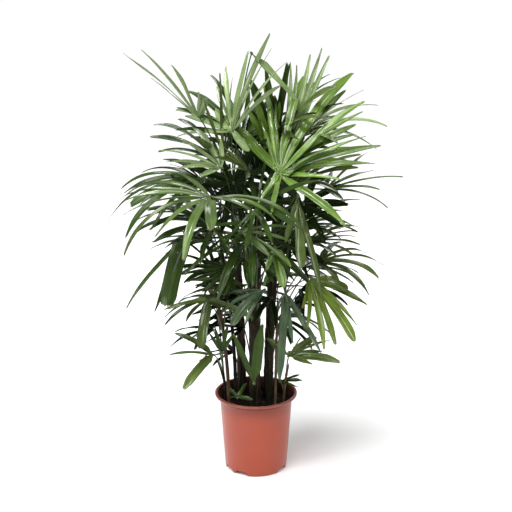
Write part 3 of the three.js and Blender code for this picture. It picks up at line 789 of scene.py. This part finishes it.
# Further leaves, each in the piece of the leaf that it grows beside. Its tone is that leaf's
# own, or the darker one that leafPaint gives for the leaves behind it, as painted shade.
besideFronds = {
    "crown_right": [
        fanLeaf(
            "right", 700, (50, 50, 950), (-0.12, 0.1, 1), (0.1, -0.9, 0.25),
            260, 90, 5, 24, 0.4, "mid", straps=(
                (-27, 0.5, 1.2), (-14, 0.78, 1.3), (-8, 0.5, 0.8), (-2, 0.85, 1.1), (6, 0.55, 1.6),
                (12, 0.92, 1.1), (18, 0.92, 0.75), (34, 0.84, 1.1))),
        fanLeaf(
            "right", 680, (40, 20, 945), (-0.12, 0.1, 1), (0.1, -0.9, 0.25),
            260, 90, 5, 24, 0.4, "fresh",
            straps=((-24, 0.52, 1), (-9, 0.58, 1.1), (3, 0.46, 0.9), (15, 0.54, 1))),
        fanLeaf(
            "right", 660, (68, -70, 926), (0.85, 0.1, 0.51), (-0.38, -0.56, 0.73),
            330, 200, 9, 24, 0.75, "fresh", straps=(
                (-86, 0.6, 1.1), (-74, 0.7, 0.8), (-44, 0.8, 1), (-23, 0.85, 1.1), (-3, 0.8, 0.9),
                (5, 0.7, 1.1), (17, 0.66, 1), (28, 0.72, 0.9), (40, 0.7, 1))),
    ],
    "crown_right_back": [
        fanLeaf(
            "right", 760, (122, 10, 1002), (1, 0, 0.24), (-0.2, -0.2, 1),
            245, 150, 6, 19, 0.9, "silver", straps=(
                (-50, 0.72, 1.2), (-34, 0.98, 0.45, 0.3), (-27, 1.05, 1.1, 0.8), (-8, 0.5, 1),
                (10, 1, 1), (37, 1.05, 0.9), (58, 0.7, 1))),
    ],
    "fan_left_back": [
        # a near-black leaf put in a gap: painted shade inside the plant
        fanLeaf(
            "back_left", 640, (-62, -10, 858), (0, -0.4, -0.9), (0, -0.8, 0.5),
            150, 330, 10, 26, 0.6, "deep"),
    ],
    "edge_right": [
        # near-black leaves put in gaps: painted shade inside the plant
        fanLeaf(
            "right", 600, (132, -20, 800), (0.2, -0.3, -0.9), (0.1, -0.8, 0.5),
            135, 320, 10, 24, 0.6, "deep"),
        fanLeaf(
            "right", 520, (94, -20, 690), (-0.1, -0.3, -0.9), (0.1, -0.8, 0.5),
            120, 320, 9, 24, 0.6, "deep"),
    ],
    "crown_top": [
        fanLeaf(
            "back_left", 800, (-12, -20, 1218), (0.62, -0.15, -0.75), (0.5, -0.6, 0.5),
            190, 60, 2, 22, 0.2, "silver",
            straps=((-2, 0.95, 1.5),)),
    ],
}
# the leaves behind and between them, down a golden spiral round the back
filling = {
    "count": 20,
    "sector": (5, 190),
    "goldenShare": 0.618,
    "height": (990, 420),
    "radius": (90, 130),
    "bulge": 95,
    "rise": (48, -32),
    "sidewise": 0.72,  # the ring is narrower than it is deep
    "reach": (235, 165),
    "segments": (7, 5),
    "span": 170,
    "strap": 24,
    "sag": 0.9,
    "stalkDrop": 230,
    # mostly dark tones: partly painted shade for the leaves inside the plant
    "tones": ("olive", "mid", "mid", "blue", "mid"),
}


def fillingFronds():
    made = {}
    for i in range(filling["count"]):
        down = i / (filling["count"] - 1)
        turn = math.radians(lerp(*filling["sector"], i * filling["goldenShare"] % 1))
        rise = math.radians(lerp(*filling["rise"], down))
        radius = lerp(*filling["radius"], down) + filling["bulge"] * math.sin(math.pi * down)
        out = levelAt(turn)
        hub = Vector((out.x * radius * filling["sidewise"], out.y * radius, lerp(*filling["height"], down)))
        stalkFrom = hub.z - filling["stalkDrop"]
        standing = [name for name, cane in canes.items() if cane["top"][2] > stalkFrom]
        nearest = min(standing, key=lambda name: (
            (caneAtHeight(canes[name], stalkFrom * mm) / mm - hub).xy.length))
        made[f"filling_{i + 1}"] = fanLeaf(
            cane=nearest, stalkFrom=stalkFrom, hub=tuple(hub),
            points=tuple(out * math.cos(rise) + up * math.sin(rise)),
            faces=tuple(up * math.cos(rise) - out * math.sin(rise)),
            reach=lerp(*filling["reach"], down), span=filling["span"],
            segments=round(lerp(*filling["segments"], down)), strap=filling["strap"],
            sag=filling["sag"], tone=filling["tones"][i % len(filling["tones"])])
    return made


leafShape = {
    "sideShort": 0.28,
    "leastGap": math.radians(10),
    "fused": 0.10,  # share of the reach that the straps are joined for
    "widest": 0.6,
    "crowding": 0.85,
    "cup": 11,
    "lengthJitter": 0.09,
    "sagJitter": 0.3,
    "edgewise": 0.35,
    "sagAtHub": 0.4,
    "sagPerReach": 1.2,
    "railSteps": 40,
    "across": 8,
    "along": 15,
    "rowsToTip": 1.35,  # rows crowd towards the tip
    "thickness": 0.6 * mm,
    "leastHalf": 0.7 * mm,
    "slim": 0.8,
    "widthJitter": 0.26,
    "fullFrom": 0.24,
    "taperFrom": (0.66, 0.84),  # of a narrow strap and of a wide one
    "taperJitter": (-0.05, 0.08),
    "tipShare": (0.16, 0.60),
    "tipLuck": 0.35,  # how far chance, rather than the strap's width, sets how blunt its tip is
    "tooth": (1.5 * mm, 5 * mm),
    "slant": 9 * mm,  # of a wide strap's blunt end
    "fold": (0.60, 0.32),  # how far the edges stand up, at the hub and at the tip
    "threeRibsFrom": 9.5 * mm,  # a narrower half width has two
    "pleat": 1.15 * mm,
    "ripple": 1.1 * mm,
    "twist": 0.42,
    "sway": 0.075,
    "dryShare": 0.4,  # of the straps
    "dryDeepShare": 0.08,
}
stalkShape = {
    "bendOut": 0.25,
    "bendUp": 0.65,
    "sides": 8,
    "steps": 18,
    "radii": (2.3 * mm, 1.5 * mm),
    "footFlare": 0.9,
    "brownShare": 0.12,
    "hub": (4.6 * mm, 6.5 * mm, 2.6 * mm),
}


def bladeAxes(frond):
    along = Vector(frond["points"]).normalized()
    face = Vector(frond["faces"])
    face = (face - along * face.dot(along)).normalized()
    return along, face, along.cross(face)


# a strap's middle line from the hub to its tip: spots, headings and upper-side normals
def strapRail(frond, turn, length, sag, twist):
    along, face, across = bladeAxes(frond)
    reach = frond["reach"] * mm
    flat = along * math.cos(turn) + across * math.sin(turn)
    spot = Vector(frond["hub"]) * mm
    heading, normal = flat.copy(), face.copy()
    fused = reach * leafShape["fused"]
    step = length / leafShape["railSteps"]
    rail = [(spot.copy(), heading.copy(), normal.copy())]
    for i in range(leafShape["railSteps"]):
        far = (i + 0.5) * step
        cupped = ease((far - 0.6 * fused) / (0.8 * fused)) - ease((far - step - 0.6 * fused) / (0.8 * fused))
        if cupped > 0:
            lift = Quaternion(heading.cross(normal), math.radians(leafShape["cup"]) * cupped)
            heading.rotate(lift)
            normal.rotate(lift)
        if far > fused:
            travelled = far / reach
            pull = heading * heading.z - up
            faceOn = normal * pull.dot(normal)
            edgeOn = (pull - faceOn) * leafShape["edgewise"]
            bend = sag * (leafShape["sagAtHub"] + leafShape["sagPerReach"] * travelled) * step / reach
            heading = (heading + (faceOn + edgeOn) * bend).normalized()
            normal = (normal - heading * normal.dot(heading)).normalized()
        spot = spot + heading * step
        share = (i + 1) / leafShape["railSteps"]
        turned = normal.copy()
        turned.rotate(Quaternion(heading, twist * ease(share)))
        rail.append((spot.copy(), heading.copy(), turned))
    return rail


# each strap's turn from the middle of the fan and the room it has there, both as angles,
# and its length, width and sag as shares of the leaf's own
def strapLayout(frond, seed, pick):
    shape = leafShape
    span = math.radians(frond["span"])
    pitch = span / frond["segments"]
    turns = [math.radians(strap[0]) for strap in frond.get("straps", ())]
    for turn, (_, length, width, *sag) in zip(turns, frond.get("straps", ())):
        gap = min([abs(other - turn) for other in turns if other != turn], default=pitch)
        yield turn, min(max(gap, shape["leastGap"]), pitch), length, width, (sag[0] if sag else 1)
    if turns:
        return
    for i in range(frond["segments"]):
        turn = (i + 0.5) * pitch - span / 2
        aside = turn / (span / 2)
        length = 1 - frond.get("sideShort", shape["sideShort"]) * aside ** 2
        length *= 1 + shape["lengthJitter"] * wobble(i, seed)
        room = 2 * frond["reach"] * length * shape["widest"] * math.sin(pitch / 2) * shape["crowding"]
        width = min(1, room / frond["strap"])
        width *= frond["widths"][i] if "widths" in frond else 1 + shape["widthJitter"] * pick.uniform(-1, 1)
        yield turn, pitch, length, width, 1 + shape["sagJitter"] * wobble(seed, i)


# one strap: a grid bent along its rail, folded like a gutter, pleated along its ribs
def addStrap(bm, frond, layout, pick, first):
    shape = leafShape
    turn, pitch, length, width, sag = layout
    reach = frond["reach"] * mm
    length *= reach
    sag *= frond["sag"]
    half = width * frond["strap"] * mm / 2 * shape["slim"]
    ribbon = frond.get("ribbon", 1)
    fused = reach * shape["fused"] * ribbon
    fullFrom = shape["fullFrom"] * length * ribbon
    twist = shape["twist"] * pick.uniform(-1, 1)
    sway = shape["sway"] * pick.uniform(-1, 1)
    rail = strapRail(frond, turn, length, sag, twist)
    ribs = 3 if half > shape["threeRibsFrom"] else 2
    shade = first + pick.choice((0, 0, 1, 2))  # half of the straps keep the plain shade
    wideness = ease((half / mm - 7) / 10)
    if frond.get("pointed"):
        wideness = 0
    blunt = shape["tipLuck"] * pick.random() + 0.65 * wideness
    tipShare = lerp(*shape["tipShare"], blunt)
    slant = shape["slant"] * wideness * pick.uniform(-1, 1)
    tooth = lerp(*shape["tooth"], pick.random()) * min(half / (9 * mm), 1.2)
    taper = lerp(*shape["taperFrom"], wideness) + pick.uniform(*shape["taperJitter"])
    phase = pick.uniform(0, 6)
    dry = (pick.random() < shape["dryShare"]) + (pick.random() < shape["dryDeepShare"])  # rows
    rows, columns = shape["along"], shape["across"]
    grid = bmesh.ops.create_grid(bm, x_segments=columns, y_segments=rows, size=0.5, calc_uvs=True)
    faces = facesOf(grid["verts"])
    tipFaces = [face for face in faces if face.calc_center_median().y > 0.5 - dry / rows]
    for vert in grid["verts"]:
        side, share = vert.co.x * 2, vert.co.y + 0.5
        column = round((vert.co.x + 0.5) * columns)
        far = (1 - (1 - share) ** shape["rowsToTip"]) * length
        wedge = max(min(far, fused * 1.15) * math.tan(pitch / 2), shape["leastHalf"])
        opened = ease((far - fused) / (fullFrom - fused))
        wide = lerp(wedge, half, opened)
        wide *= lerp(1, tipShare, ease((far / length - taper) / (1.02 - taper)))
        if share > 0.999:
            far -= tooth * (column % 2) + tooth * 1.4 * abs(side) ** 3 - slant * side
        at = far / length * shape["railSteps"]
        before = min(int(at), shape["railSteps"] - 1)
        near, ahead = rail[before], rail[before + 1]
        spot = near[0].lerp(ahead[0], at - before)
        heading = near[1].lerp(ahead[1], at - before).normalized()
        normal = near[2].lerp(ahead[2], at - before).normalized()
        across = heading.cross(normal)
        loose = ease((far - fused) / (0.3 * length))
        drift = sway * loose * (far - fused) * math.sin(math.pi * 0.75 * far / length)
        height = wide * abs(side) * lerp(*shape["fold"], ease(far / length))
        height -= wide * 0.5 * shape["fold"][1]
        height += shape["pleat"] * min(wide / (9 * mm), 1) * abs(math.cos(math.pi * ribs * side / 2))
        ripple = shape["ripple"] * loose * math.sin(phase + far / length * 9 + side * 1.2) * side * side
        vert.co = spot + across * (side * wide + drift) + normal * (height + ripple)
    for face in faces:
        face.material_index = shade
    for face in tipFaces:
        face.material_index = tipIndex
    walled = bmesh.ops.solidify(bm, geom=list(faces), thickness=shape["thickness"])
    for face in walled["geom"]:
        if isinstance(face, bmesh.types.BMFace) and face.material_index == shade:
            face.material_index = first + 3


def stalkPath(frond):
    start = caneAtHeight(canes[frond["cane"]], frond["stalkFrom"] * mm)
    hub = Vector(frond["hub"]) * mm
    bend = Vector((
        lerp(start.x, hub.x, stalkShape["bendOut"]),
        lerp(start.y, hub.y, stalkShape["bendOut"]),
        lerp(start.z, hub.z, stalkShape["bendUp"])))
    return lambda t: bezier(start, bend, hub, t)


def addStalk(bm, frond, path):
    def radius(t, turn):
        foot = 1 + stalkShape["footFlare"] * math.exp(-t * 22)
        return lerp(*stalkShape["radii"], t) * foot * (1 + 0.12 * math.cos(2 * turn))

    faces = addTube(bm, path, radius, stalkShape["sides"], stalkShape["steps"], stalkIndex)
    start, end = path(0), path(1)
    for face in faces:
        risen = (face.calc_center_median() - start).length / (end - start).length
        if risen < stalkShape["brownShare"]:
            face.material_index = footIndex
    along, face, across = bladeAxes(frond)
    turned = Matrix((across, along, face)).transposed().to_4x4()
    placed = Matrix.Translation(end) @ turned @ Matrix.Diagonal((*stalkShape["hub"], 1))
    knob = bmesh.ops.create_uvsphere(bm, u_segments=10, v_segments=6, radius=1, matrix=placed)
    for face in facesOf(knob["verts"]):
        face.material_index = stalkIndex


# the leaves that stand behind a leaf, nearer the canes, each on its own stalk
behind = {
    "leaves": {
        "crown_right": 1, "crown_top": 1, "fan_upper_left": 1, "fan_left": 2,
        "lattice_centre": 2, "light_centre": 2, "bright_centre": 2, "edge_upper_right": 1,
        "shade_left": 1, "hang_dark_centre": 2, "edge_low_right": 1,
    },
    "fillingLeaves": 1,
    "hubShare": (0.45, 0.85),  # how far along the front leaf's stalk
    "swing": (14, 52),  # degrees round the cane, to one side and then the other
    "rise": (-85, 45),
    "tilt": (-12, 24),
    "turn": 9,
    "reach": (0.68, 0.92),
    "strap": 0.86,
    "stalkDrop": (30, 90),
}


def leavesBehind(frond, count, pick):
    cane = canes[frond["cane"]]
    path = stalkPath(frond)
    side = pick.choice((-1, 1))
    made = []
    for i in range(count):
        hub = path(pick.uniform(*behind["hubShare"])) / mm
        pivot = caneAtHeight(cane, min(hub.z, cane["top"][2]) * mm) / mm
        swing = Quaternion(up, math.radians(side * (1 - 2 * i) * pick.uniform(*behind["swing"])))
        hub = pivot + swing @ (hub - pivot) + up * pick.uniform(*behind["rise"])
        along, face, across = bladeAxes(frond)
        along, face = swing @ along, swing @ face
        tilt = Quaternion(along.cross(face), math.radians(pick.uniform(*behind["tilt"])))
        spin = Quaternion(face, math.radians(pick.uniform(-1, 1) * behind["turn"]))
        lowest = max(frond["stalkFrom"] - pick.uniform(*behind["stalkDrop"]), 225)
        plain = {key: value for key, value in frond.items() if key not in ("straps", "widths")}
        made.append({
            **plain, "stalkFrom": lowest, "hub": tuple(hub),
            "points": tuple(spin @ (tilt @ along)), "faces": tuple(spin @ (tilt @ face)),
            "reach": frond["reach"] * pick.uniform(*behind["reach"]),
            "strap": frond["strap"] * behind["strap"],
            "segments": max(frond["segments"] - 1, 3),
        })
    return made


def buildFronds():
    filled = fillingFronds()
    everyFrond = {**fronds, **filled}
    leaves = straps = 0
    for number, (name, frond) in enumerate(everyFrond.items()):
        pick = random.Random(700 + number)
        bm = bmesh.new()
        bm.loops.layers.uv.new("strap")
        group = [(frond, ownFirst)]
        count = behind["fillingLeaves"] if name in filled else behind["leaves"].get(name, 0)
        # the leaves behind take the darker tone: painted shade
        group += [(leaf, behindFirst) for leaf in leavesBehind(frond, count, pick)]
        group += [(leaf, ownFirst if leaf["tone"] == frond["tone"] else behindFirst)
                  for leaf in besideFronds.get(name, ())]
        for leaf, first in group:
            addStalk(bm, leaf, stalkPath(leaf))
            for layout in strapLayout(leaf, number + 1, pick):
                addStrap(bm, leaf, layout, pick, first)
                straps += 1
        leaves += len(group)
        tone = frond["tone"]
        materials = leafShared + leafSets[tone] + leafSets[leafPaint["behind"][tone]]
        finishPiece("leaf_" + name, bm, materials, ["frond_" + name], 60)
    print("leaves built:", leaves, "with", straps, "straps")


buildStudio()
buildPot()
buildSoil()
buildCanes()
buildFronds()
